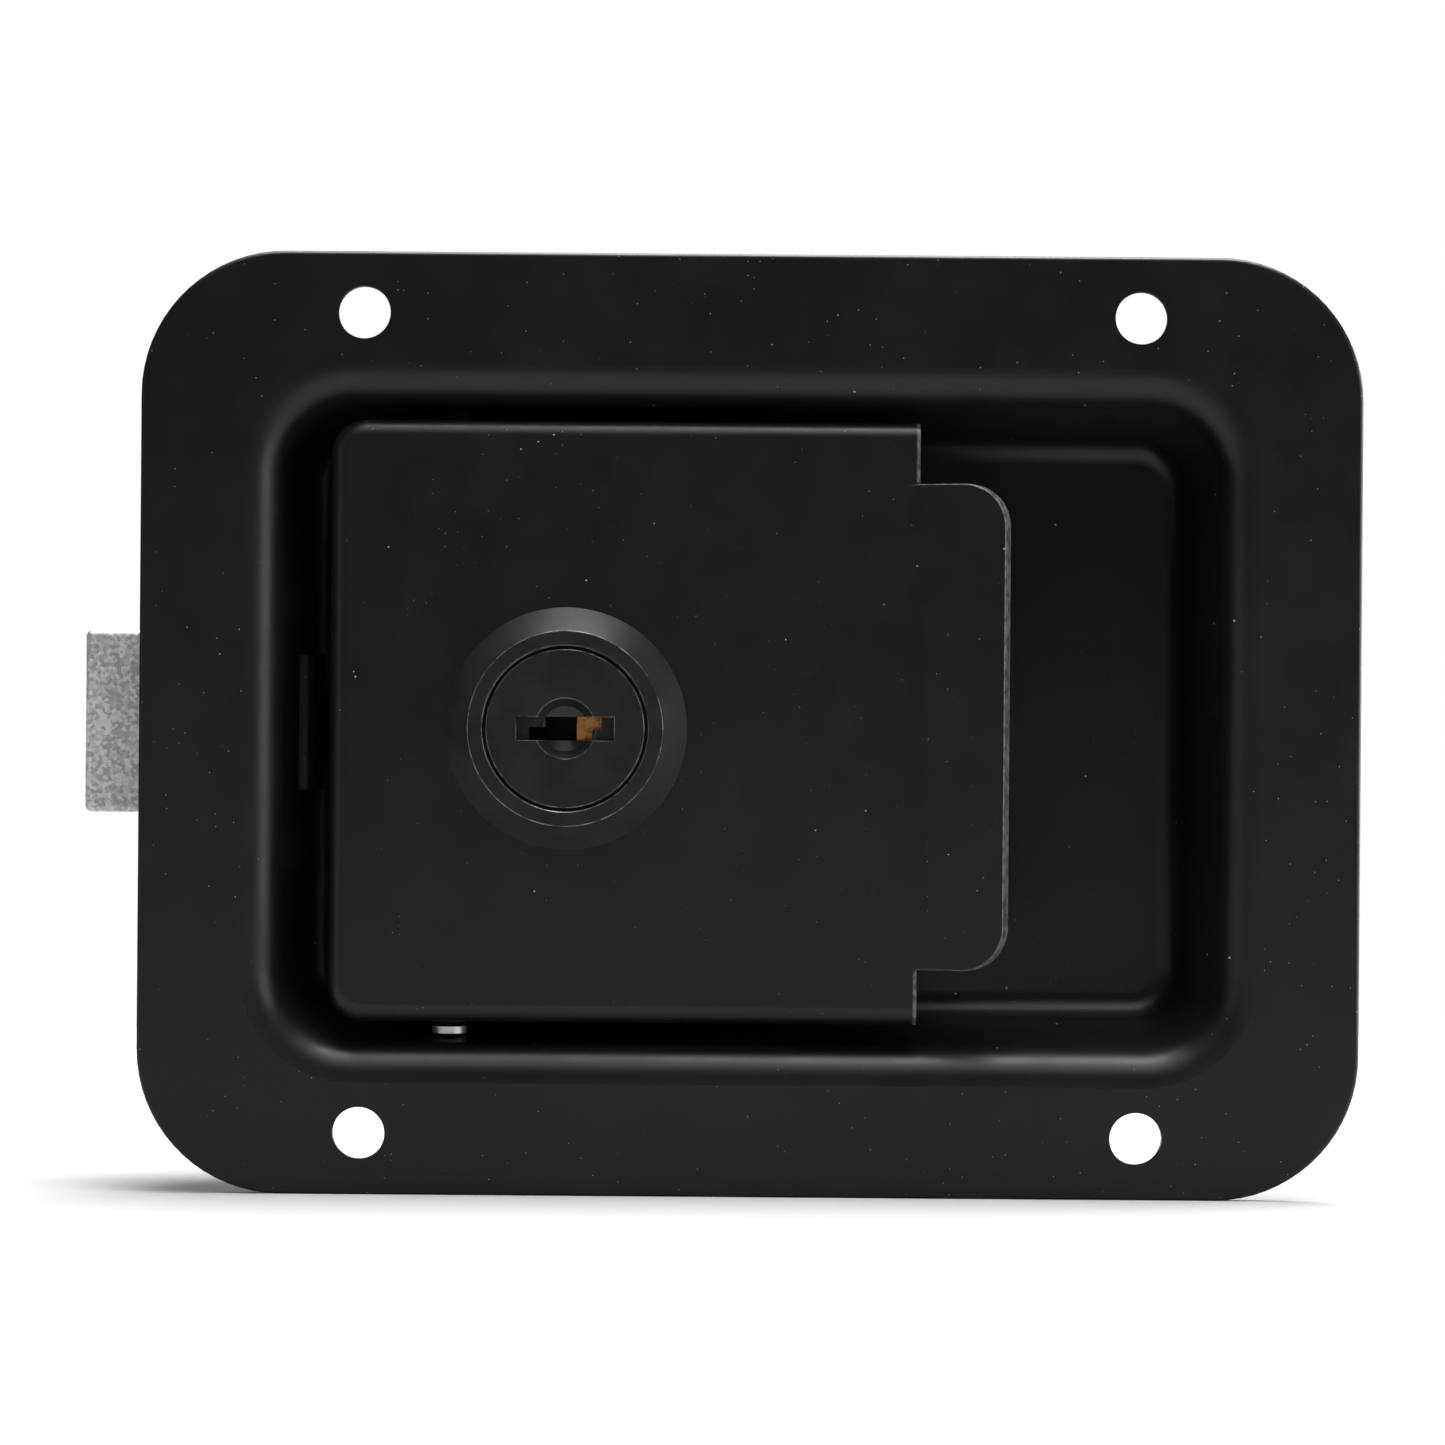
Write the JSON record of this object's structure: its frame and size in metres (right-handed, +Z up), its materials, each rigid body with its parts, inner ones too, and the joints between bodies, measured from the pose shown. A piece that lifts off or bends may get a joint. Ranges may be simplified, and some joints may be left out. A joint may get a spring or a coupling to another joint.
{
  "type": "flush paddle latch",
  "caption": "Flush-mount stamped dish latch with a hinged finger paddle, a key lock with cam in the paddle and a sprung bevelled bolt in a case behind.",
  "frame": {"origin": "centre of the four mounting holes, on the flange's back face", "axes": "+X to the right seen from the front, away from the bolt; +Y into the door; +Z up"},
  "size_m": [0.1472, 0.0309, 0.108],
  "materials": {
    "black_coat": "satin black powder coat on stamped steel",
    "paddle_coat": "satin black powder coat on stamped steel",
    "seat_coat": "satin black powder coat on spring sheet",
    "leg_coat": "satin black powder coat on steel",
    "lock_black": "satin black lacquer on die-cast zinc, rubbed at the rims",
    "plug_black": "satin black lacquer on die-cast zinc",
    "wafer_brass": "stamped brass",
    "cast_zinc": "matt mottled cast zinc",
    "zinc_sheet": "bright zinc plated sheet",
    "zinc_steel": "zinc plated steel",
    "pin_steel": "bright zinc plated turned steel",
    "clip_steel": "phosphated spring steel",
    "spring_wire": "drawn spring wire"
  },
  "bodies": {
    "housing": {"pan": "black_coat", "bolt_case": "zinc_sheet", "case_rivets": "zinc_steel", "spring_seat": "seat_coat", "hinge_pin": "pin_steel", "pin_clips": "clip_steel", "lock_keeper": "zinc_sheet", "keeper_rivets": "zinc_steel", "bolt_springs": "spring_wire", "paddle_spring": "spring_wire"},
    "paddle": {"paddle": "paddle_coat", "release_leg": "leg_coat", "lock_body": "lock_black", "lock_nut": "zinc_steel", "lock_washer": "zinc_steel"},
    "plug": {"lock_plug": "plug_black", "wafers": "wafer_brass", "wafer_springs": "spring_wire", "cam": "zinc_sheet", "cam_washer": "zinc_steel", "cam_screw": "zinc_steel"},
    "bolt": {"latch_bolt": "cast_zinc", "draw_bar": "zinc_sheet", "draw_bar_rivets": "zinc_steel"}
  },
  "joints": [
    {"name": "paddle_swing", "type": "hinge", "parent": "housing", "child": "paddle", "pos_m": [-0.0346, 0.0065, 0], "axis": [0, 0, -1], "range_deg": [0, 27], "stiffness_Nm_per_rad": 0.12, "springref_deg": -20.05, "deforming": ["paddle_spring"]},
    {"name": "bolt_slide", "type": "slide", "parent": "housing", "child": "bolt", "axis": [1, 0, 0], "range_m": [0, 0.00837], "stiffness_N_per_m": 300, "springref_m": -0.006, "deforming": ["bolt_springs"]},
    {"name": "plug_turn", "type": "hinge", "parent": "paddle", "child": "plug", "pos_m": [-0.0211, -0.001, -0.0005], "axis": [0, -1, 0], "range_deg": [0, 90]}
  ],
  "couplings": [
    {"joint": "bolt_slide", "follows": "paddle_swing", "m_per_rad": 0.017762}
  ]
}
